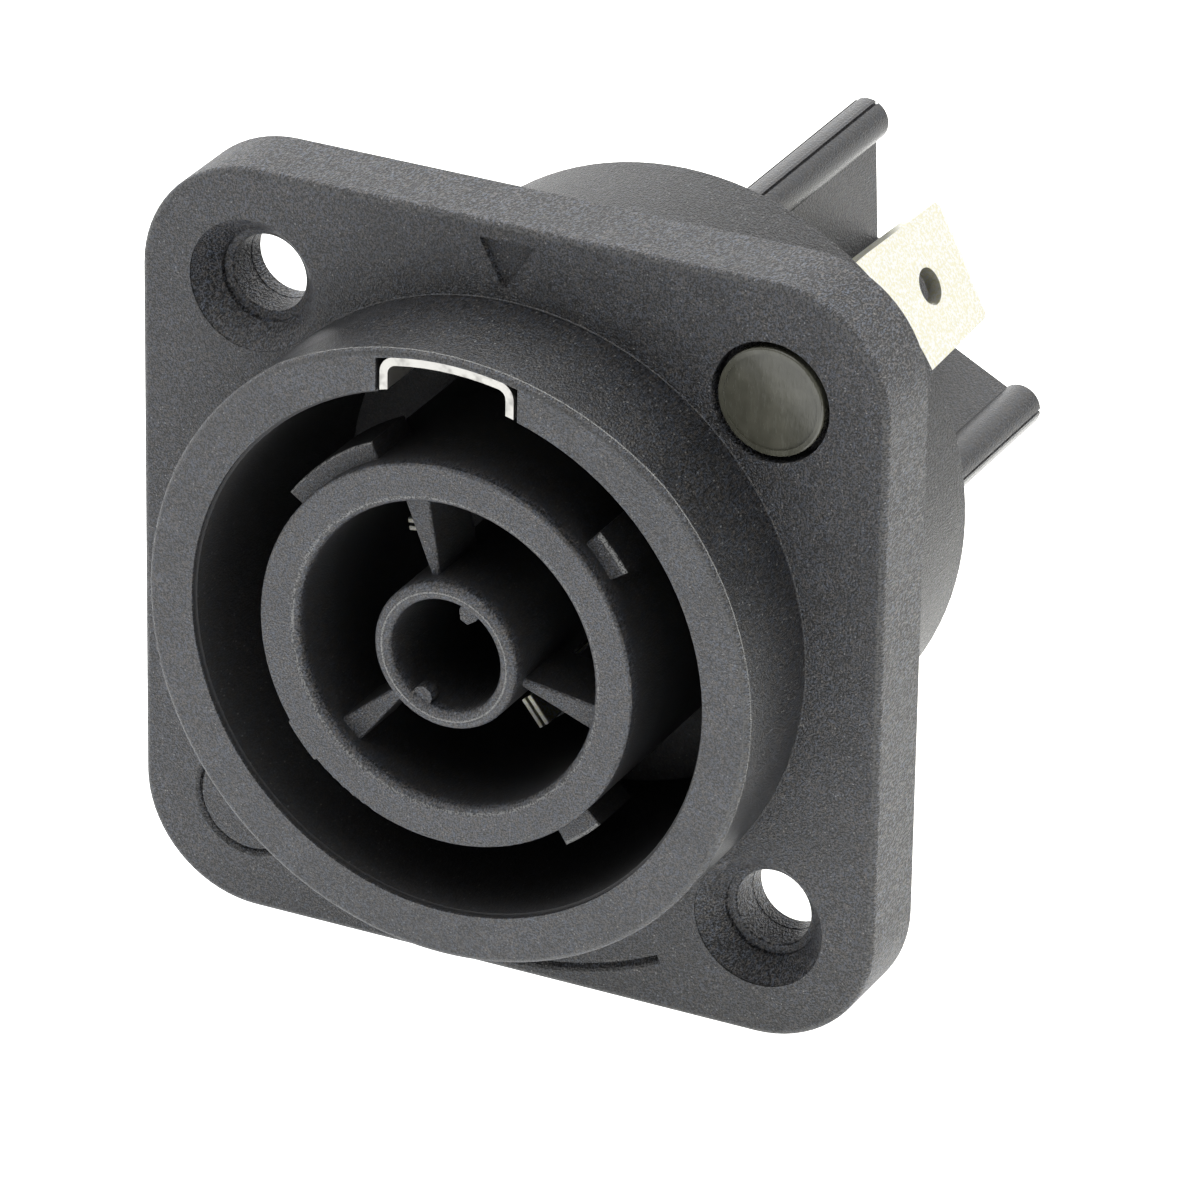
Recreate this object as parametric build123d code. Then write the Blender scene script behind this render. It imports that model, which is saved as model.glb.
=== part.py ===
from build123d import *
import os
import math

# Chassis power outlet: a square flange with a round nose, a locking socket in
# the nose, a round barrel that goes through the panel, and three blade tabs
# between three divider fins at the back.
#
# Frame: millimetres, +Z up, +X to the right seen from the front, front is -Y.
# The origin is on the socket axis, in the back face of the flange, which is
# the face that lies against the panel.

# ---- flange ----
FL_W = 38.0            # square flange, side
FL_T = 4.3             # flange thickness
FL_R = 5.9             # outline corner radius
FL_EDGE = 0.33         # rounding of the front outline edge
HOLE_P = 13.2          # fixing hole centre, each way from the axis
HOLE_R = 1.9           # through bore radius of a fixing hole
CSK_R = 3.27           # countersink radius at the front face
CSK_R2 = 2.29          # foot of the countersink
CSK_D = 1.23           # depth of the countersink
DISC_P = 13.17         # marker disc centre, each way from the axis
POCKET_R = 2.95        # pocket of the marker disc
POCKET_D = 1.3
DISC_R = 2.64
STEM_R = 1.6
STEM_L = 1.9

# ---- nose ring ----
NOSE_R = 15.35         # at the front
NOSE_ROOT_R = 15.24    # at the flange
NOSE_H = 6.12
BORE_R = 12.92
BORE_LIP_R = 13.06     # shallow rebate at the mouth of the bore
BORE_LIP_D = 0.28

# ---- barrel ----
BARREL_R = 14.9
BARREL_L = 13.9
REAR_BORE_R = 13.4
SHOULDER_Y = 5.0       # the carrier seats here
FLOOR_T = 4.0          # carrier floor

# ---- socket inner ----
ICO = 9.5              # inner cylinder, outer radius
ICI = 7.55             # inner cylinder, inner radius
TUO = 3.65             # centre tube, outer radius
TUI = 2.78             # centre tube, inner radius
SPOKE_A = 105.5        # angle of the first of three guard ribs
SPOKE_SET = 1.0        # set back from the socket face
SPOKE_Y = 3.6          # length along the axis
KEYS = ((114.5, 145.0, 10.36), (33.8, 46.0, 10.48), (-56.0, -43.6, 10.44))

# ---- latch strike plate ----
NOTCH_X = 3.58         # half width of the notch in the nose
NOTCH_R = 14.62
NOTCH_Y = 8.9
PLATE_X = 3.38
PLATE_T = 0.4
PLATE_L = 6.2
PLATE_FOOT_R = 13.08

# ---- rear fins ----
FIN_A = 92.6           # angle of the first fin
FIN_T = 0.88
FIN_R = 10.35
BEAD_C = 9.26
BEAD_R = 1.12
FIN_END = 35.1
HUB_R = 3.1            # round hub that joins the fins
NOSE_EDGE = 0.28       # rounding of the nose's front edge

# ---- terminals ----
TAB_A = 27.3           # direction that the first tab faces
TAB_MID = 6.0          # distance of the tab's middle plane from the axis
TAB_T = 0.8
TAB_OFF = 0.63
TAB_W_TIP = 6.3
TAB_W_ROOT = 6.8
TAB_END = 34.3
TAB_HOLE_R = 0.95
TAB_HOLE_SET = 4.1
FORK_X, FORK_Z = 5.57, 1.42
FORK_TURN = 41.0
EARTH_TIP = -3.4       # the earth contact meets its mate first
LIVE_TIP = -2.0
LEAF_W, LEAF_T, LEAF_GAP = 1.55, 0.28, 0.08
CLIP_T = 0.18

Y_FACE = -FL_T - NOSE_H          # plane of the nose and socket faces
Y_FLOOR = SHOULDER_Y + FLOOR_T   # back of the carrier floor


def plane(y):
    return Plane(origin=(0, y, 0), x_dir=(1, 0, 0), z_dir=(0, -1, 0))


def ext(sketch, y0, y1):
    """Solid from y0 to y1 of a sketch drawn in X and Z."""
    return extrude(plane(y1) * sketch, y1 - y0)


def cyl(r, y0, y1, x=0.0, z=0.0):
    return Pos(x, (y0 + y1) / 2, z) * (Rot(90, 0, 0) * Cylinder(r, y1 - y0))


def tube(ro, ri, y0, y1):
    return cyl(ro, y0, y1) - cyl(ri, y0 - 1, y1 + 1)


def spin(points, x=0.0, z=0.0, turn=0.0, arc=360):
    """Revolve (radius, y) points about an axis parallel to Y."""
    face = make_face(Polyline([(r, y) for r, y in points], close=True))
    body = revolve(face, Axis.Y, revolution_arc=arc)
    return Pos(x, 0, z) * (Rot(0, turn, 0) * body)


def sector(ri, ro, a0, a1, y0, y1):
    """Ring segment between two angles, measured from +X towards +Z."""
    face = make_face(Polyline([(ri, y0), (ro, y0), (ro, y1), (ri, y1)], close=True))
    return Rot(0, -a1, 0) * revolve(face, Axis.Y, revolution_arc=a1 - a0)


def at(angle):
    """Turn about the socket axis, from +X towards +Z."""
    return Rot(0, -angle, 0)


def front_circle(solid, r):
    es = [e for e in solid.edges().filter_by(GeomType.CIRCLE) if abs(e.radius - r) < 1e-4]
    return sorted(es, key=lambda e: e.center().Y)[0]


# ------------------------------------------------------------------ housing
plate = ext(RectangleRounded(FL_W, FL_W, FL_R), -FL_T, 0)
front_edges = plate.faces().sort_by(Axis.Y)[0].edges()
plate = fillet(front_edges, FL_EDGE)
back_edges = plate.faces().sort_by(Axis.Y)[-1].edges()
plate = fillet(back_edges, 0.12)

def nose_trim(rho):
    """Large cylinder that flattens the nose towards 85 degrees, deepest at
    the front."""
    d = rho - NOSE_R + 0.46
    a = math.radians(85)
    return Pos(-d * math.cos(a), Y_FACE, -d * math.sin(a)) * (Rot(2.6, 0, 0) * cyl(rho, -3.0, 12.5))


nose = spin([(0, Y_FACE), (NOSE_R, Y_FACE), (NOSE_ROOT_R, -FL_T), (NOSE_ROOT_R - 0.06, -1.0), (0, -1.0)])
nose &= nose_trim(17.0)
nose = fillet(nose.faces().sort_by(Axis.Y)[0].edges(), NOSE_EDGE)
# fine parting line where the rounding runs out
nose += tube(NOSE_R + 0.02, 12, Y_FACE + NOSE_EDGE, Y_FACE + NOSE_EDGE + 0.06) & nose_trim(17.02)
barrel = cyl(BARREL_R, -1.0, BARREL_L)
barrel = fillet(sorted(barrel.edges().filter_by(GeomType.CIRCLE), key=lambda e: e.center().Y)[-1], 0.08)
root = spin([(NOSE_ROOT_R - 0.3, -FL_T + 0.06), (NOSE_ROOT_R - 0.3, -FL_T - 0.06), (NOSE_ROOT_R + 0.05, -FL_T - 0.06),
             (NOSE_ROOT_R + 0.09, -FL_T - 0.01), (NOSE_ROOT_R + 0.09, -FL_T + 0.06)])
housing = plate + nose + barrel + root

# bore: shallow mouth rebate, main bore, shoulder, rear bore
housing -= spin([(0, Y_FACE - 1), (BORE_LIP_R, Y_FACE - 1), (BORE_LIP_R, Y_FACE + BORE_LIP_D),
                 (BORE_R, Y_FACE + BORE_LIP_D), (BORE_R, SHOULDER_Y), (REAR_BORE_R, SHOULDER_Y),
                 (REAR_BORE_R, BARREL_L + 1), (0, BARREL_L + 1)])

# notch for the strike plate, open to the bore and to the front
notch = ext(Pos(0, 12) * Rectangle(2 * NOTCH_X, 12), Y_FACE - 1, Y_FACE + NOTCH_Y)
notch &= cyl(NOTCH_R, Y_FACE - 2, Y_FACE + NOTCH_Y + 1)
housing -= notch

# two countersunk fixing holes on the diagonal
csk = [(0, -FL_T - 1), (CSK_R, -FL_T - 1), (CSK_R, -FL_T + 0.11), (CSK_R2 + 0.05, -FL_T + CSK_D - 0.03),
       (CSK_R2, -FL_T + CSK_D + 0.03), (CSK_R2 - 0.02, -FL_T + CSK_D + 0.3),
       (HOLE_R + 0.06, -FL_T + CSK_D + 0.42), (HOLE_R, -FL_T + CSK_D + 0.5), (HOLE_R, -0.98),
       (HOLE_R + 0.03, -0.94), (HOLE_R + 0.03, -0.88), (HOLE_R, -0.84), (HOLE_R, 1), (0, 1)]
for sx in (1, -1):
    housing -= spin(csk, sx * HOLE_P, -sx * HOLE_P)

# pocket and stem hole of the marker disc
housing -= cyl(POCKET_R, -FL_T - 1, -FL_T + POCKET_D, DISC_P, DISC_P)
housing -= cyl(STEM_R, -FL_T - 1, -FL_T + POCKET_D + STEM_L, DISC_P, DISC_P)

# flush round pad, bounded by a soft moat, in the lower left corner
housing -= spin([(2.56, -FL_T - 0.05), (2.56, -FL_T + 0.36), (2.64, -FL_T + 0.36),
                 (2.78, -FL_T + 0.14), (3.02, -FL_T - 0.05)], -13.35, -13.35)

# arc-shaped panel under the nose, bounded by a soft moat
housing -= spin([(18.1, -FL_T - 0.05), (18.12, -FL_T + 0.3), (18.2, -FL_T + 0.32), (18.32, -FL_T + 0.2),
                 (18.42, -FL_T + 0.08), (18.6, -FL_T - 0.03)], turn=63.5, arc=53)

# sunk triangle that marks the top
tri = Polygon((-0.27, 15.76), (1.3, 18.2), (-1.58, 18.2), align=None)
housing -= ext(fillet(tri.vertices(), 0.1), -FL_T - 1, -FL_T + 0.3)

# rib that keys the carrier and the rear cover
rib = Pos(0, (SHOULDER_Y + BARREL_L - 0.6) / 2, -13.1) * Box(2.0, BARREL_L - 0.6 - SHOULDER_Y, 1.0)
housing += rib

# ------------------------------------------------------------ contact carrier
inner = tube(ICO, ICI, Y_FACE, SHOULDER_Y + 0.5)
inner = fillet(front_circle(inner, ICO), 0.14)
inner = fillet(front_circle(inner, ICI), 0.42)
centre = cyl(TUO, Y_FACE, SHOULDER_Y + 0.5) - cyl(TUI, Y_FACE - 1, SHOULDER_Y)
centre = fillet(front_circle(centre, TUO), 0.34)
centre = fillet(front_circle(centre, TUI), 0.3)
centre += spin([(3.13, Y_FACE + 0.1), (3.13, Y_FACE + 0.01), (3.17, Y_FACE - 0.04), (3.22, Y_FACE - 0.04),
                (3.26, Y_FACE + 0.01), (3.26, Y_FACE + 0.1)])
floor = cyl(REAR_BORE_R - 0.05, SHOULDER_Y, Y_FLOOR)
carrier = inner + centre + floor

for k in range(3):
    a = SPOKE_A - 120 * k
    w_in, w_out = 0.42, 1.36
    rib = Polygon((TUO - 0.2, -w_in / 2), (ICI + 0.2, -w_out / 2), (ICI + 0.2, w_out / 2),
                  (TUO - 0.2, w_in / 2), align=None)
    spoke = ext(rib, Y_FACE + SPOKE_SET, Y_FACE + SPOKE_SET + SPOKE_Y)
    long_edges = [e for e in spoke.faces().sort_by(Axis.Y)[0].edges() if e.length > 2]
    carrier += at(a) * fillet(long_edges, 0.15)

# two opposed key lugs in the mouth of the centre tube
for a, set_in, tip_r, length in ((65.0, 0.3, 2.03, 3.0), (243.0, 0.22, 2.2, 0.7)):
    lug = make_face(Polyline([(TUI + 0.2, -0.5), (2.45, -0.46), (tip_r, -0.2), (tip_r, 0.2), (2.45, 0.46),
                              (TUI + 0.2, 0.5)], close=True))
    carrier += at(a) * ext(lug, Y_FACE + set_in, Y_FACE + set_in + length)

# bayonet keys outside the inner cylinder
for a0, a1, r in KEYS:
    key = sector(ICO - 0.3, r, a0, a1, Y_FACE + SPOKE_SET, Y_FACE + SPOKE_SET + 3.2)
    rim = [e for e in key.faces().sort_by(Axis.Y)[0].edges()
           if not (e.geom_type == GeomType.CIRCLE and e.radius < ICO)]
    carrier += fillet(rim, 0.1)
bulge = sector(ICO - 0.3, ICO + 0.1, -147.0, -134.0, Y_FACE + 0.06, Y_FACE + 4.2)
carrier += fillet([e for e in bulge.edges().filter_by(Axis.Y) if math.hypot(e.center().X, e.center().Z) > ICO], 0.08)

# windows that the contact forks pass through, and the keyway
for k in range(3):
    carrier -= at(TAB_A - 120 * k) * cyl(1.83, SHOULDER_Y - 1, Y_FLOOR + 1, FORK_X, FORK_Z)
carrier -= Pos(0, SHOULDER_Y + 2, -13.4) * Box(2.1, 12, 1.8)

# ---------------------------------------------------------------- rear cover
PLATE_Y = BARREL_L - 2.0
cover = cyl(REAR_BORE_R, PLATE_Y, BARREL_L)
cover += tube(REAR_BORE_R, REAR_BORE_R - 1.5, Y_FLOOR, PLATE_Y + 0.5)
cover += cyl(1.5, Y_FLOOR, PLATE_Y + 0.5)

fin = make_face(Polyline([(0, -FIN_T / 2), (FIN_R, -FIN_T / 2), (FIN_R, FIN_T / 2), (0, FIN_T / 2)], close=True))
fin = fillet([v for v in fin.vertices() if v.X > 1], 0.17)
fin += Pos(BEAD_C, 0) * Circle(BEAD_R)
for s in (1, -1):
    fin -= Pos(FIN_R, s * (FIN_T / 2 + 0.07)) * Rectangle(0.42, 0.14)
for k in range(3):
    cover += at(FIN_A - 120 * k) * ext(fin, BARREL_L - 0.5, FIN_END)
cover += cyl(HUB_R, BARREL_L - 0.5, FIN_END)
# flat pad on the hub behind each tab
for k in range(3):
    cover += at(TAB_A - 120 * k) * ext(Pos(2.775, -0.45) * Rectangle(2.55, 2.3), BARREL_L - 0.5, FIN_END)

# sleeves that hold the tabs, and the slots through them
for k in range(3):
    sleeve = ext(Pos(TAB_MID, TAB_OFF) * RectangleRounded(3.2, 8.8, 0.8), BARREL_L - 0.5, BARREL_L + 2.6)
    cover += at(TAB_A - 120 * k) * sleeve
for k in range(3):
    slot = ext(Pos(TAB_MID, TAB_OFF) * Rectangle(TAB_T + 0.06, TAB_W_ROOT + 0.1), PLATE_Y - 1, BARREL_L + 4)
    cover -= at(TAB_A - 120 * k) * slot
cover -= Pos(0, Y_FLOOR + 2, -13.4) * Box(2.1, 12, 1.8)

# -------------------------------------------------------- latch strike plate
outer = make_face(Polyline([(-PLATE_X, 9), (-PLATE_X, 16), (PLATE_X, 16), (PLATE_X, 9)], close=True))
solid_o = ext(outer, Y_FACE + 0.03, Y_FACE + PLATE_L) & cyl(NOTCH_R, Y_FACE - 1, 0)
long_o = [e for e in solid_o.edges().filter_by(Axis.Y) if e.center().Z > 13.5]
solid_o = fillet(long_o, 0.85)
inner_s = make_face(Polyline([(-PLATE_X + PLATE_T, 8), (-PLATE_X + PLATE_T, 16), (PLATE_X - PLATE_T, 16),
                              (PLATE_X - PLATE_T, 8)], close=True))
solid_i = ext(inner_s, Y_FACE - 1, Y_FACE + PLATE_L + 1) & cyl(NOTCH_R - PLATE_T, Y_FACE - 2, 1)
long_i = [e for e in solid_i.edges().filter_by(Axis.Y) if e.center().Z > 13.0]
solid_i = fillet(long_i, 0.48)
strike = solid_o - solid_i
strike -= cyl(PLATE_FOOT_R, Y_FACE - 2, 2)

# ---------------------------------------------------------------- marker disc
disc = cyl(DISC_R, -FL_T - 0.02, -FL_T + POCKET_D, DISC_P, DISC_P)
disc = fillet(sorted(disc.edges().filter_by(GeomType.CIRCLE), key=lambda e: e.center().Y)[0], 0.12)
disc -= cyl(DISC_R - 0.3, -FL_T - 1, -FL_T + 0.08, DISC_P, DISC_P)
disc += cyl(STEM_R, -FL_T + POCKET_D - 0.3, -FL_T + POCKET_D + STEM_L - 0.2, DISC_P, DISC_P)

# ------------------------------------------------------------------ terminals
def terminal(tip):
    """One stamped and folded contact: blade tab, shoulders, neck, fork."""
    h0, h1, hs = TAB_W_TIP / 2, TAB_W_ROOT / 2, 4.1
    n0, n1 = FORK_Z - TAB_OFF - 1.2, FORK_Z - TAB_OFF + 1.2
    c = 0.6
    pts = [(7.4, n0), (Y_FLOOR, n0), (Y_FLOOR, -hs), (PLATE_Y, -hs), (PLATE_Y, -h1), (TAB_END - 8.3, -h1),
           (TAB_END - c, -h0), (TAB_END, -h0 + c), (TAB_END, h0 - c), (TAB_END - c, h0), (TAB_END - 8.3, h1),
           (PLATE_Y, h1), (PLATE_Y, hs), (Y_FLOOR, hs), (Y_FLOOR, n1), (7.4, n1)]
    # drawn in the plane of the blade: first value along Y, second along Z
    pl = Plane(origin=(TAB_MID - TAB_T / 2, 0, TAB_OFF), x_dir=(0, 1, 0), z_dir=(1, 0, 0))
    blade = extrude(pl * (make_face(Polyline(pts, close=True)) - Pos(TAB_END - TAB_HOLE_SET, 0) * Circle(TAB_HOLE_R)), TAB_T)
    # lead-in bevels on the tip
    for s in (1, -1):
        wedge = make_face(Polyline([(TAB_END - 0.4, s * TAB_T / 2), (TAB_END + 0.1, s * (TAB_T / 2 - 0.15)),
                                    (TAB_END + 0.1, s * TAB_T)], close=True))
        pw = Plane(origin=(TAB_MID, 0, TAB_OFF - 5), x_dir=(0, 1, 0), z_dir=(0, 0, 1))
        blade -= extrude(pw * wedge, 10)
    base = cyl(1.74, 7.4, 8.2, FORK_X, FORK_Z)
    body = blade + base
    for s in (1, -1):
        t0, t1 = s * LEAF_GAP / 2, s * (LEAF_GAP / 2 + LEAF_T)
        leaf = make_face(Polyline([(7.6, t0), (tip + 0.4, t0), (tip, t0 + s * 0.05), (tip, t1 - s * 0.04),
                                   (tip + 0.05, t1), (7.6, t1)], close=True))
        # first value along Y, second across the gap
        pf = Plane(origin=(-LEAF_W / 2, 0, 0), x_dir=(0, 1, 0), z_dir=(1, 0, 0))
        body += Pos(FORK_X, 0, FORK_Z) * (at(FORK_TURN) * extrude(pf * leaf, LEAF_W))
    return body


def clip(tip):
    """Spring steel channel that squeezes the fork from outside."""
    w = LEAF_GAP / 2 + LEAF_T
    prof = Pos(CLIP_T / 2, 0) * Rectangle(LEAF_W + CLIP_T, 2 * (w + CLIP_T))
    prof -= Pos(-0.5, 0) * Rectangle(LEAF_W + 1.0, 2 * w)
    return Pos(FORK_X, 0, FORK_Z) * (at(FORK_TURN) * ext(prof, tip + 1.8, tip + 6.4))


contacts = (("line", LIVE_TIP), ("earth", EARTH_TIP), ("neutral", LIVE_TIP))

parts = {
    "flange_housing": housing,
    "contact_carrier": carrier,
    "rear_cover": cover,
    "latch_strike_plate": strike,
    "marker_disc": disc,
}
for k, (name, tip) in enumerate(contacts):
    parts[name + "_terminal"] = at(TAB_A - 120 * k) * terminal(tip)
    parts[name + "_contact_clip"] = at(TAB_A - 120 * k) * clip(tip)

os.makedirs("parts", exist_ok=True)
for name, shape in parts.items():
    solids = shape.solids()
    if len(solids) == 1:
        shape = solids[0]
    print(name, len(solids), len(shape.shells()), round(shape.volume, 1))
    export_step(shape, "parts/" + name + ".step")
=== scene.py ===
import math

import bpy
from mathutils import Matrix, Vector


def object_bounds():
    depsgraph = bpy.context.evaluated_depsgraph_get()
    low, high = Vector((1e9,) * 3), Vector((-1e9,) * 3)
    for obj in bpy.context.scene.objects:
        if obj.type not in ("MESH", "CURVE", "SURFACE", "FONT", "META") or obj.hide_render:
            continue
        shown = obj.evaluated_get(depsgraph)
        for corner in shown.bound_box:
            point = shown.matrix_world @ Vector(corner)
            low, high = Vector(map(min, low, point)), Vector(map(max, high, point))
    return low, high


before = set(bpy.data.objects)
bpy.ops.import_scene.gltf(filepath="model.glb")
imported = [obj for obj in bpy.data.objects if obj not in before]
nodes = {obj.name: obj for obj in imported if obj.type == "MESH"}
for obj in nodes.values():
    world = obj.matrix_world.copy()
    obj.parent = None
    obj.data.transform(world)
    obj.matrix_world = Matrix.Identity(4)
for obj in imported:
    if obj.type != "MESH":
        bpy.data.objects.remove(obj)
cad_lo, cad_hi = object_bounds()
scene = bpy.context.scene

# All lengths are metres. The socket axis is Y, the front looks to -Y, +Z is up.
FACE_Y = -0.01042      # plane of the nose and socket faces
FLANGE_Y = -0.0043     # front face of the flange
NOSE_R = 0.01535
HOLE_P = 0.0132        # fixing hole centres, each way from the axis


# ------------------------------------------------------------- node helpers
class Graph:
    """A small builder for one material's node tree."""

    def __init__(self, name):
        self.mat = bpy.data.materials.new(name)
        self.mat.use_nodes = True
        self.nt = self.mat.node_tree
        self.nt.nodes.clear()
        self.out = self.nt.nodes.new("ShaderNodeOutputMaterial")
        self.bsdf = self.nt.nodes.new("ShaderNodeBsdfPrincipled")
        self.nt.links.new(self.bsdf.outputs[0], self.out.inputs[0])
        self.coord = self.nt.nodes.new("ShaderNodeTexCoord").outputs["Object"]

    def node(self, kind, **props):
        n = self.nt.nodes.new("ShaderNode" + kind)
        for k, v in props.items():
            setattr(n, k, v)
        return n

    def put(self, socket, value):
        if isinstance(value, bpy.types.NodeSocket):
            self.nt.links.new(value, socket)
        else:
            socket.default_value = value

    def noise(self, scale, detail=2.0, rough=0.5, vector=None, distortion=0.0):
        n = self.node("TexNoise")
        self.put(n.inputs["Vector"], vector or self.coord)
        n.inputs["Scale"].default_value = scale
        n.inputs["Detail"].default_value = detail
        n.inputs["Roughness"].default_value = rough
        n.inputs["Distortion"].default_value = distortion
        return n.outputs["Fac"]

    def cells(self, scale, feature="F1", randomness=1.0, vector=None, smooth=None):
        n = self.node("TexVoronoi", feature=feature)
        self.put(n.inputs["Vector"], vector or self.coord)
        n.inputs["Scale"].default_value = scale
        n.inputs["Randomness"].default_value = randomness
        if smooth is not None:
            n.inputs["Smoothness"].default_value = smooth
        return n

    def math(self, op, a, b=0.0, c=0.0, clamp=False):
        n = self.node("Math", operation=op, use_clamp=clamp)
        for s, v in zip(n.inputs, (a, b, c)):
            self.put(s, v)
        return n.outputs[0]

    def ramp(self, value, lo, hi, to_lo=0.0, to_hi=1.0, smooth=True):
        n = self.node("MapRange", interpolation_type="SMOOTHSTEP" if smooth else "LINEAR")
        self.put(n.inputs["Value"], value)
        n.inputs["From Min"].default_value = lo
        n.inputs["From Max"].default_value = hi
        n.inputs["To Min"].default_value = to_lo
        n.inputs["To Max"].default_value = to_hi
        return n.outputs["Result"]

    def mix(self, fac, a, b):
        """Blend of two colours."""
        n = self.node("Mix", data_type="RGBA")
        self.put(n.inputs[0], fac)
        self.put(n.inputs[6], a)
        self.put(n.inputs[7], b)
        return n.outputs[2]

    def lerp(self, fac, a, b):
        """Blend of two numbers."""
        n = self.node("Mix", data_type="FLOAT")
        self.put(n.inputs[0], fac)
        self.put(n.inputs[2], a)
        self.put(n.inputs[3], b)
        return n.outputs[0]

    def xyz(self):
        n = self.node("SeparateXYZ")
        self.put(n.inputs[0], self.coord)
        return n.outputs[0], n.outputs[1], n.outputs[2]

    def radius(self, cx=0.0, cz=0.0):
        """Distance from a line parallel to Y."""
        x, _, z = self.xyz()
        n = self.node("CombineXYZ")
        self.put(n.inputs[0], self.math("SUBTRACT", x, cx))
        self.put(n.inputs[1], 0.0)
        self.put(n.inputs[2], self.math("SUBTRACT", z, cz))
        m = self.node("VectorMath", operation="LENGTH")
        self.put(m.inputs[0], n.outputs[0])
        return m.outputs["Value"]

    def stretch(self, sx, sy, sz, turn_y=0.0):
        n = self.node("Mapping")
        self.put(n.inputs["Vector"], self.coord)
        n.inputs["Scale"].default_value = (sx, sy, sz)
        n.inputs["Rotation"].default_value = (0.0, turn_y, 0.0)
        return n.outputs[0]

    def bump(self, height, distance, strength=1.0, normal=None):
        n = self.node("Bump")
        n.inputs["Strength"].default_value = strength
        n.inputs["Distance"].default_value = distance
        self.put(n.inputs["Height"], height)
        if normal is not None:
            self.put(n.inputs["Normal"], normal)
        return n.outputs[0]

    def side_wall(self):
        """1 on walls parallel to the socket axis, 0 on faces across it."""
        g = self.node("NewGeometry")
        s = self.node("SeparateXYZ")
        self.put(s.inputs[0], g.outputs["True Normal"])
        a = self.math("ABSOLUTE", s.outputs[1])
        return self.ramp(a, 0.25, 0.75, 1.0, 0.0)

    def band(self, value, lo, hi, soft):
        """1 between lo and hi, fading to 0 over a soft width."""
        up = self.ramp(value, lo - soft, lo + soft)
        down = self.ramp(value, hi - soft, hi + soft, 1.0, 0.0)
        return self.math("MULTIPLY", up, down)


def give(node, mat):
    for s in nodes[node].material_slots:
        s.material = mat


# --------------------------------------------------------- moulded plastics
WALL_GRAIN = 2.1       # how much stronger the grain is on walls along the axis


def moulded(name, base, light, rough, speck, zones=(), crest_highlights=(), seed=0.0):
    """Glass-filled plastic from a spark-eroded mould: a strong fine grain with
    a few pale glass flecks and slow cloudy tone changes. On the walls along
    the axis the grain is coarser, drawn out the way the mould was pulled.

    zones: (mask, tone factor or colour, roughness, share of the grain kept); the tone factor or colour paints light or
    shade onto the zone.
    Painted highlights, one tuple each: (mask, brightness, roughness, speckle from, speckle to): narrow crests painted
    bright, speckled by the fine grain."""
    g = Graph(name)
    off = g.node("VectorMath", operation="ADD")
    g.put(off.inputs[0], g.coord)
    off.inputs[1].default_value = (seed, seed * 0.7, seed * 1.3)
    drawn = g.node("VectorMath", operation="MULTIPLY")
    g.put(drawn.inputs[0], off.outputs[0])
    drawn.inputs[1].default_value = (1.0, 0.52, 1.0)
    v = drawn.outputs[0]

    fine = g.noise(11500, 1.5, 0.7, v)
    cloud = g.noise(420, 2.0, 0.6, v)
    cell = g.cells(8200, "F1", 1.0, v)
    pick = g.node("SeparateColor")
    g.put(pick.inputs[0], cell.outputs["Color"])
    grit = g.math("SUBTRACT", pick.outputs[1], 0.5)
    fleck = g.math("MULTIPLY", g.ramp(cell.outputs["Distance"], 0.16, 0.42, 1.0, 0.0), g.ramp(pick.outputs[0], 0.86, 1.0, 0.0, speck))

    tone = g.mix(g.ramp(cloud, 0.34, 0.66), base, light)
    r = g.math("ADD", rough, g.math("MULTIPLY", g.math("SUBTRACT", cloud, 0.5), 0.14))
    r = g.math("ADD", r, g.math("MULTIPLY", grit, 0.12))
    keep = g.lerp(g.side_wall(), 1.0, WALL_GRAIN)
    # Each zone's tone factor or colour paints light or shade into the base colour; roughness and grain share are the
    # real finish.
    for mask, shade, zone_rough, share in zones:
        m = mask(g)
        if isinstance(shade, tuple):
            tone = g.mix(m, tone, shade)
        elif shade != 1.0:
            t = g.node("VectorMath", operation="SCALE")
            g.put(t.inputs[0], tone)
            g.put(t.inputs["Scale"], g.lerp(m, 1.0, shade))
            tone = t.outputs[0]
        r = g.lerp(m, r, zone_rough)
        if share != 1.0:
            keep = g.math("MULTIPLY", keep, g.lerp(m, 1.0, share))

    gain = g.math("ADD", g.ramp(fine, 0.37, 0.64, -0.96, 1.30), g.math("MULTIPLY", grit, 0.7))
    gain = g.math("MULTIPLY", gain, keep)
    fleck = g.math("MULTIPLY", fleck, g.math("MINIMUM", keep, 1.0))
    gain = g.math("MAXIMUM", g.math("ADD", 1.0, gain), 0.05)
    tint = g.mix(pick.outputs[2], (1.15, 1.00, 0.83, 1), (0.86, 1.00, 1.23, 1))
    mul = g.node("VectorMath", operation="MULTIPLY")
    g.put(mul.inputs[0], tone)
    g.put(mul.inputs[1], tint)
    scaled = g.node("VectorMath", operation="SCALE")
    g.put(scaled.inputs[0], mul.outputs[0])
    g.put(scaled.inputs["Scale"], gain)
    colour = g.mix(fleck, scaled.outputs[0], (0.26, 0.26, 0.25, 1))

    # Painted highlights: each crest band is lightened to a bright colour, speckled by the fine grain, with its own
    # roughness.
    for mask, bright, highlight_rough, lo, hi in crest_highlights:
        highlight_fac = g.math("MULTIPLY", mask(g), g.ramp(fine, lo, hi))
        colour = g.mix(highlight_fac, colour, (bright, bright, bright * 0.97, 1))
        r = g.lerp(highlight_fac, r, highlight_rough)
    g.put(g.bsdf.inputs["Base Color"], colour)
    g.put(g.bsdf.inputs["Roughness"], r)
    g.bsdf.inputs["IOR"].default_value = 1.53

    h = g.math("MULTIPLY", g.math("SUBTRACT", fine, 0.5), keep)
    g.put(g.bsdf.inputs["Normal"], g.bump(h, 0.000085, 1.0))
    return g


def front_ring(g):
    """The front faces of the nose and the socket, where the grain is finer and the tone is painted lighter as painted
    light.
    """
    _, y, _ = g.xyz()
    return g.ramp(y, FACE_Y + 0.00012, FACE_Y + 0.00030, 1.0, 0.0)


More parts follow.
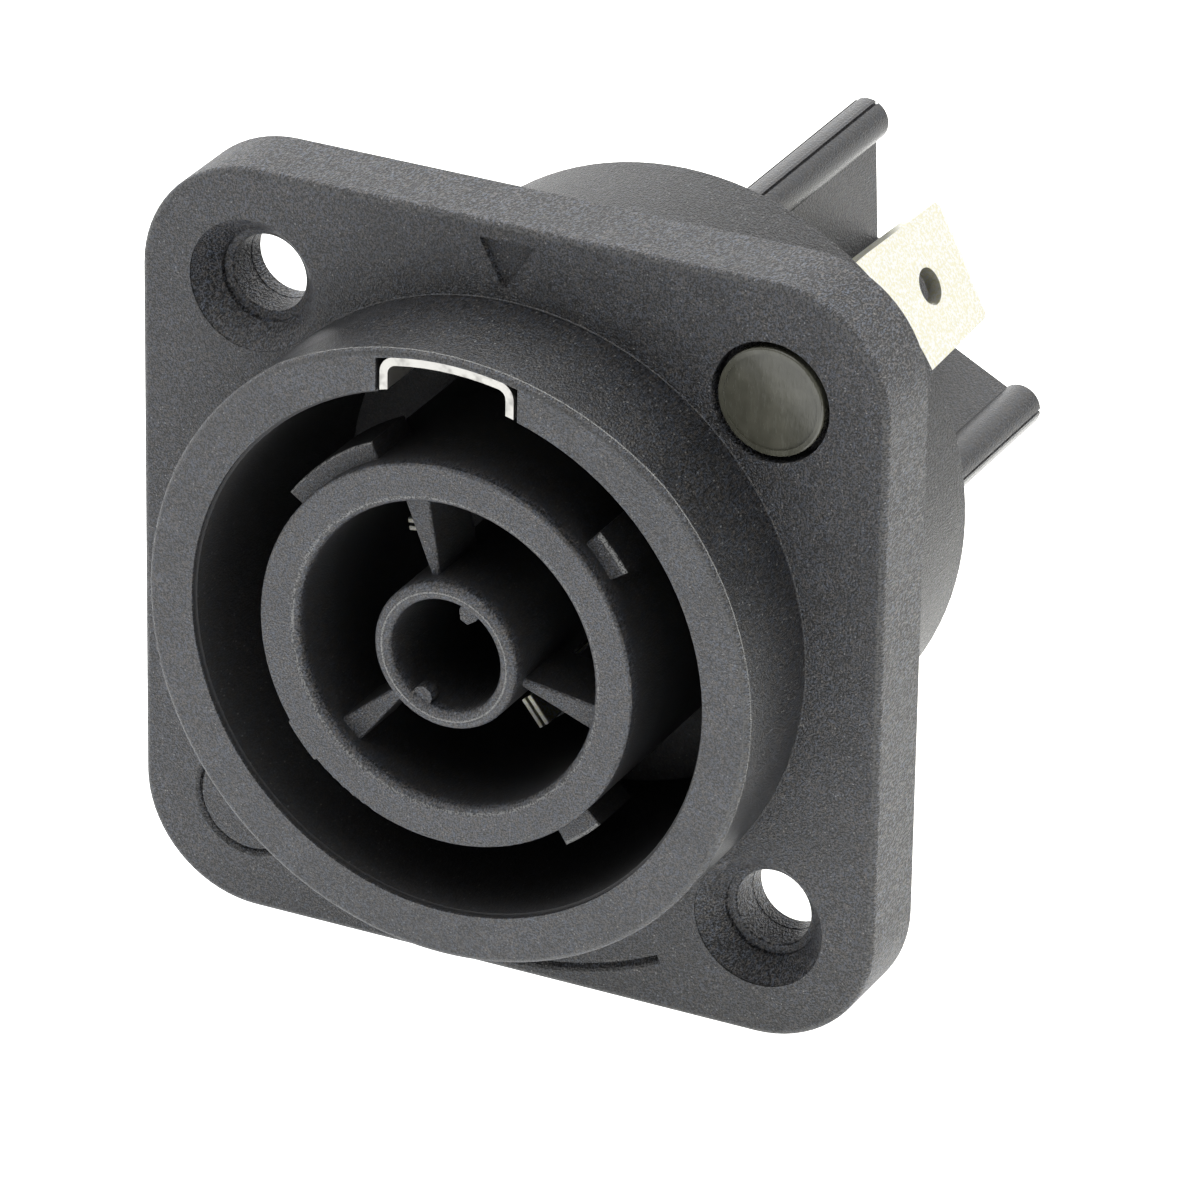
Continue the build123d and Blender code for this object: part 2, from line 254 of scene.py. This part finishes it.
def notch(g):
    """The notch under the strike plate, painted near black as shade."""
    x, y, z = g.xyz()
    m = g.math("MULTIPLY", g.ramp(g.math("ABSOLUTE", x), 0.0046, 0.0052, 1.0, 0.0), g.ramp(z, 0.0092, 0.0098))
    return g.math("MULTIPLY", m, g.math("MULTIPLY", g.ramp(y, FACE_Y + 0.0001, FACE_Y + 0.0003), g.ramp(g.radius(), 0.01472, 0.01480, 1.0, 0.0)))


def nose_wall(g):
    """The smoother outer wall of the nose, painted darker as shade."""
    r = g.radius()
    _, y, _ = g.xyz()
    wall = g.math("MULTIPLY", g.ramp(r, 0.01482, 0.01486), g.ramp(r, NOSE_R + 0.00003, NOSE_R + 0.0001, 1.0, 0.0))
    return g.math("MULTIPLY", wall, g.math("MULTIPLY", g.ramp(y, FACE_Y + 0.00036, FACE_Y + 0.00040), g.ramp(y, FLANGE_Y - 0.0001, FLANGE_Y, 1.0, 0.0)))


def bore_inside(g):
    """Everything inside the nose and the barrel: bore, notch and shoulder, painted near black as shade."""
    r = g.radius()
    _, y, _ = g.xyz()
    return g.math("MULTIPLY", g.ramp(r, 0.01472, 0.01480, 1.0, 0.0), g.ramp(y, FACE_Y + 0.00006, FACE_Y + 0.00014))


def barrel_wall(g):
    """The barrel behind the flange, painted darker as shade."""
    r = g.radius()
    _, y, _ = g.xyz()
    return g.math("MULTIPLY", g.ramp(r, 0.01510, 0.01518, 1.0, 0.0), g.ramp(y, 0.00002, 0.0001))


def hole_zone(inner, outer):
    """A ring round the axes of the two fixing holes, behind the front face; its zones paint the holes lighter as
    painted light.
    """
    def mask(g):
        _, y, _ = g.xyz()
        d = g.math("MINIMUM", g.radius(HOLE_P, -HOLE_P), g.radius(-HOLE_P, HOLE_P))
        m = g.math("MULTIPLY", g.ramp(d, outer, outer + 0.00006, 1.0, 0.0), g.ramp(y, FLANGE_Y + 0.00006, FLANGE_Y + 0.00012))
        return m if inner <= 0 else g.math("MULTIPLY", m, g.ramp(d, inner - 0.00006, inner))
    return mask


def y_band(y0, y1, r0, r1, soft=0.000008):
    """A narrow ring between two planes across the axis and two radii."""
    def mask(g):
        r = g.radius()
        _, y, _ = g.xyz()
        m = g.math("MULTIPLY", g.ramp(y, y0 - soft, y0 + soft), g.ramp(y, y1 - soft, y1 + soft, 1.0, 0.0))
        return g.math("MULTIPLY", m, g.math("MULTIPLY", g.ramp(r, r0 - 0.00002, r0 + 0.00002), g.ramp(r, r1 - 0.00002, r1 + 0.00002, 1.0, 0.0)))
    return mask


def any_wall(g):
    """All walls along the axis."""
    return g.side_wall()


def socket_wall(g):
    """Smooth walls inside the socket, behind the grained front faces, painted darker as shade."""
    _, y, _ = g.xyz()
    return g.math("MULTIPLY", g.side_wall(), g.ramp(y, FACE_Y + 0.0004, FACE_Y + 0.0009))


def socket_deep(g):
    """The floor of the socket, painted near black as shade."""
    _, y, _ = g.xyz()
    return g.ramp(y, FACE_Y + 0.0030, FACE_Y + 0.0040)


def fin_smooth(g):
    """The beads along the fins are smoother than the webs."""
    r = g.radius()
    return g.ramp(r, 0.0081, 0.0083)


# Painted shade: a near-black colour laid on the socket floor, where shade falls.
SOCKET_FLOOR_SHADE = (0.0150, 0.0150, 0.0153, 1)
housing = moulded(
    "housing_moulding", (0.0200, 0.0205, 0.0219, 1), (0.0268, 0.0274, 0.0291, 1), 0.50, 0.60,
    # Zone tones are painted light and shade: front faces x1.12 lighter, nose wall x0.70 and barrel x0.30 darker, bore
    # painted near black as shade.
    zones=((front_ring, 1.12, 0.50, 0.72), (nose_wall, 0.70, 0.38, 0.36), (barrel_wall, 0.30, 0.40, 1.50), (bore_inside, (0.0118, 0.0118, 0.0121, 1), 0.64, 0.20),
           # Painted shade: the notch under the strike plate is painted darker still.
           (notch, (0.0080, 0.0080, 0.0082, 1), 0.62, 0.20),
           # Painted light: the countersinks x1.45 and the hole bores x1.2 painted lighter.
           (hole_zone(0.0, 0.00325), 1.45, 0.44, 1.0), (hole_zone(0.0, 0.00198), 1.2, 0.30, 1.0)),
    # Painted highlights: bright bands speckled by the grain on the nose's rim just behind its front face, at the front
    # face next to the bore's mouth and just behind the flange's front face.
    crest_highlights=((y_band(FACE_Y + 0.00027, FACE_Y + 0.00035, 0.0147, 0.0156), 0.23, 0.26, 0.16, 0.42),
           (y_band(FACE_Y + 0.000006, FACE_Y + 0.00004, 0.0143, 0.0152), 0.040, 0.40, 0.30, 0.62),
           (y_band(FLANGE_Y + 0.000008, FLANGE_Y + 0.00005, 0.0156, 0.0280), 0.050, 0.40, 0.36, 0.62)))
carrier = moulded(
    "carrier_moulding", (0.0225, 0.0230, 0.0245, 1), (0.0272, 0.0278, 0.0295, 1), 0.50, 0.55,
    # Zone tones: front faces x1.20 painted lighter; socket walls and floor painted darker as shade.
    zones=((any_wall, 1.0, 0.46, 0.40), (front_ring, 1.20, 0.50, 0.78), (socket_wall, (0.0175, 0.0175, 0.0178, 1), 0.46, 0.40), (socket_deep, SOCKET_FLOOR_SHADE, 0.50, 0.50)),
    # Painted highlights: bright speckled bands at the inner cylinder's front edge, on the tube's rim crest, and on a
    # ring about 1 mm inside the socket.
    crest_highlights=((y_band(FACE_Y + 0.000006, FACE_Y + 0.00005, 0.0075, 0.0081), 0.12, 0.32, 0.42, 0.62),
           (y_band(FACE_Y - 0.00010, FACE_Y + 0.00002, 0.00314, 0.00324), 0.15, 0.30, 0.30, 0.55),
           (y_band(FACE_Y + 0.00090, FACE_Y + 0.00110, 0.01026, 0.01060), 0.14, 0.30, 0.35, 0.55)), seed=0.013)
cover = moulded(
    "cover_moulding", (0.0160, 0.0162, 0.0170, 1), (0.0225, 0.0228, 0.0238, 1), 0.44, 0.35,
    zones=((any_wall, 1.0, 0.38, 0.42), (fin_smooth, 1.0, 0.27, 0.45)), seed=0.029)
give("flange_housing", housing.mat)
give("contact_carrier", carrier.mat)
give("rear_cover", cover.mat)


# ------------------------------------------------------------------- metals
def tin(name, base, warm, rough):
    """Matte tin plate over stamped brass: a fine orange-peel, faint rolling
    lines along the blade, and warm patches where the plate is thin."""
    g = Graph(name)
    peel = g.noise(7000, 2.0, 0.6)
    blotch = g.noise(600, 3.0, 0.62)
    lines = g.noise(5200, 1.0, 0.6, g.stretch(1.0, 0.05, 1.0))
    tone = g.mix(g.ramp(blotch, 0.42, 0.64, 0.0, 0.5), base, warm)
    g.put(g.bsdf.inputs["Base Color"], g.mix(g.ramp(peel, 0.56, 0.42, 0.0, 0.7), tone, [warm[0] * 0.93, warm[1] * 0.90, warm[2] * 0.66, 1.0]))
    g.bsdf.inputs["Metallic"].default_value = 1.0
    r = g.math("ADD", rough, g.math("MULTIPLY", g.math("SUBTRACT", blotch, 0.5), 0.22))
    r = g.math("ADD", r, g.math("MULTIPLY", g.math("SUBTRACT", lines, 0.5), 0.16))
    g.put(g.bsdf.inputs["Roughness"], r)
    g.put(g.bsdf.inputs["Normal"], g.bump(peel, 0.000010, 1.0))
    return g.mat


def sheet_steel(name, base, rough, along):
    """Bright plated or plain spring strip with fine drawn lines."""
    g = Graph(name)
    lines = g.noise(9000, 2.0, 0.6, g.stretch(*along))
    spot = g.noise(1400, 2.0, 0.6)
    g.put(g.bsdf.inputs["Base Color"], g.mix(g.ramp(spot, 0.48, 0.72, 0.0, 0.8), base, [c * 0.60 for c in base[:3]] + [1.0]))
    g.bsdf.inputs["Metallic"].default_value = 1.0
    r = g.math("ADD", rough, g.math("MULTIPLY", g.math("SUBTRACT", lines, 0.5), 0.25))
    r = g.math("ADD", r, g.math("MULTIPLY", g.math("SUBTRACT", spot, 0.5), 0.20))
    g.put(g.bsdf.inputs["Roughness"], r)
    g.put(g.bsdf.inputs["Normal"], g.bump(lines, 0.000005, 1.0))
    return g.mat


tab_metal = tin("tin_plated_brass", (0.92, 0.92, 0.895, 1), (0.88, 0.865, 0.79, 1), 0.36)
for n in ("line_terminal", "neutral_terminal", "earth_terminal"):
    give(n, tab_metal)
give("latch_strike_plate", sheet_steel("nickel_strip", (0.42, 0.41, 0.385, 1), 0.44, (1.0, 0.12, 1.0)))
spring = sheet_steel("spring_strip", (0.36, 0.36, 0.37, 1), 0.34, (1.0, 0.1, 1.0))
for n in ("line_contact_clip", "neutral_contact_clip", "earth_contact_clip"):
    give(n, spring)


# -------------------------------------------------------------- marker disc
def disc_plastic():
    """Glossy insert, dark olive brown, with fine scuffs."""
    g = Graph("marker_gloss")
    cloud = g.noise(700, 2.0, 0.6)
    scuff = g.noise(5200, 2.0, 0.7, g.stretch(1.0, 1.0, 0.25, 0.0))
    g.put(g.bsdf.inputs["Base Color"], g.mix(g.ramp(cloud, 0.35, 0.7), (0.050, 0.0495, 0.037, 1), (0.076, 0.075, 0.058, 1)))
    r = g.math("ADD", 0.22, g.math("MULTIPLY", g.ramp(scuff, 0.46, 0.70), 0.09))
    g.put(g.bsdf.inputs["Roughness"], r)
    g.bsdf.inputs["IOR"].default_value = 1.50
    g.put(g.bsdf.inputs["Normal"], g.bump(g.math("ADD", scuff, g.math("MULTIPLY", cloud, 3.0)), 0.000006, 1.0))
    return g.mat


give("marker_disc", disc_plastic())


# ------------------------------------------------------------------- stage
def floor_material():
    """A white table: back-lit near the object, plain card beyond it."""
    g = Graph("studio_floor")
    x, y, _ = g.xyz()
    g.put(g.bsdf.inputs["Base Color"], g.mix(g.ramp(g.noise(14, 1.0, 0.5), 0.3, 0.7), (0.59, 0.59, 0.59, 1), (0.61, 0.61, 0.61, 1)))
    g.bsdf.inputs["Roughness"].default_value = 0.9
    s = g.math("ADD", g.math("MULTIPLY", x, 0.66), g.math("MULTIPLY", y, 0.75))
    near = g.math("MULTIPLY", g.ramp(s, 0.052, 0.067, 1.0, 0.0), g.math("MULTIPLY", g.ramp(x, -0.07, 0.0, 0.76, 1.20), g.ramp(x, 0.005, 0.05, 1.0, 1.12)))
    g.put(g.bsdf.inputs["Emission Strength"], g.math("ADD", near, 0.38))
    g.put(g.bsdf.inputs["Emission Color"], g.mix(g.ramp(s, -0.03, 0.04), (0.965, 0.98, 1.0, 1), (1.0, 0.995, 0.94, 1)))
    g.mat.cycles.emission_sampling = "NONE"
    return g.mat


FLOOR_Z = cad_lo.z - 0.00002
bpy.ops.mesh.primitive_plane_add(size=6.0, location=(0, 0, FLOOR_Z))
floor = bpy.context.object
floor.name = "studio_floor"
floor.data.materials.append(floor_material())

def studio_world():
    """A white tent over a light table: bright overhead, at the left and
    behind, softer at the right, and darker in front above the table, where
    the camera stands."""
    world = bpy.data.worlds.new("studio")
    world.use_nodes = True
    nt = world.node_tree
    bg = nt.nodes["Background"]
    tc = nt.nodes.new("ShaderNodeTexCoord")
    sep = nt.nodes.new("ShaderNodeSeparateXYZ")
    nt.links.new(tc.outputs["Generated"], sep.inputs[0])

    def ramp(value, lo, hi, a, b):
        n = nt.nodes.new("ShaderNodeMapRange")
        n.interpolation_type = "SMOOTHSTEP"
        nt.links.new(value, n.inputs["Value"])
        for k, x in (("From Min", lo), ("From Max", hi), ("To Min", a), ("To Max", b)):
            n.inputs[k].default_value = x
        return n.outputs["Result"]

    def times(a, b):
        n = nt.nodes.new("ShaderNodeMath")
        n.operation = "MULTIPLY"
        nt.links.new(a, n.inputs[0])
        nt.links.new(b, n.inputs[1])
        return n.outputs[0]

    dark = times(times(ramp(sep.outputs[1], -0.15, -0.55, 0.0, 1.0), ramp(sep.outputs[2], -0.10, 0.04, 0.0, 1.0)),
                 ramp(sep.outputs[2], 0.62, 0.88, 1.0, 0.0))
    across = times(ramp(sep.outputs[0], -0.35, -0.08, LEFT, MIDDLE), ramp(sep.outputs[0], 0.22, 0.58, 1.0, RIGHT / MIDDLE))
    level = times(ramp(dark, 0.0, 1.0, 1.0, FRONT), across)
    nt.links.new(level, bg.inputs["Strength"])
    bg.inputs["Color"].default_value = (1.0, 1.0, 1.0, 1)
    return world


LEFT, MIDDLE, RIGHT, FRONT = 1.98, 1.74, 0.88, 0.165
scene.world = studio_world()


def softbox(name, place, look, size, watts, colour=(1, 1, 1)):
    data = bpy.data.lights.new(name, "AREA")
    data.shape = "RECTANGLE"
    data.size, data.size_y = size
    data.energy = watts
    data.color = colour
    o = bpy.data.objects.new(name, data)
    scene.collection.objects.link(o)
    o.location = place
    o.rotation_mode = "QUATERNION"
    o.rotation_quaternion = (Vector(look) - Vector(place)).to_track_quat("-Z", "Y")
    return o


softbox("overhead", (0.05, -0.02, 0.60), (0, 0, 0), (0.50, 0.40), 2.1)

scene.cycles.max_bounces = 6
scene.cycles.diffuse_bounces = 3
scene.cycles.glossy_bounces = 3
scene.cycles.transmission_bounces = 1


# ------------------------------------------------------------------ camera
AZ, EL, ROLL = math.radians(26.8746), math.radians(26.2521), math.radians(0.6580)
DIST = 11.375648 * 0.038
FOCAL = 9413.0455 / 1200.0       # in frame widths
AIM = (0.0099491, 0.00040915)    # where the frame centre lies, as tangents
back = Vector((math.sin(AZ) * math.cos(EL), -math.cos(AZ) * math.cos(EL), math.sin(EL)))
right = Vector((math.cos(AZ), math.sin(AZ), 0))
up = back.cross(right)
r2 = right * math.cos(ROLL) + up * math.sin(ROLL)
u2 = -right * math.sin(ROLL) + up * math.cos(ROLL)
place = Vector((0, -0.0042, 0)) + back * DIST
ahead = (-back + r2 * AIM[0] + u2 * AIM[1]).normalized()
side = ahead.cross(u2).normalized()
top = side.cross(ahead).normalized()
cam_data = bpy.data.cameras.new("camera")
cam_data.sensor_fit = "HORIZONTAL"
cam_data.sensor_width = 36.0
cam_data.lens = 36.0 * FOCAL
cam_data.clip_start, cam_data.clip_end = 0.01, 10.0
cam = bpy.data.objects.new("camera", cam_data)
scene.collection.objects.link(cam)
cam.rotation_mode = "QUATERNION"
cam.location = place
cam.rotation_quaternion = Matrix((side, top, -ahead)).transposed().to_quaternion()
scene.camera = cam

scene.view_settings.view_transform = "Standard"
scene.view_settings.look = "None"
scene.view_settings.exposure = 0.0
scene.view_settings.gamma = 1.0
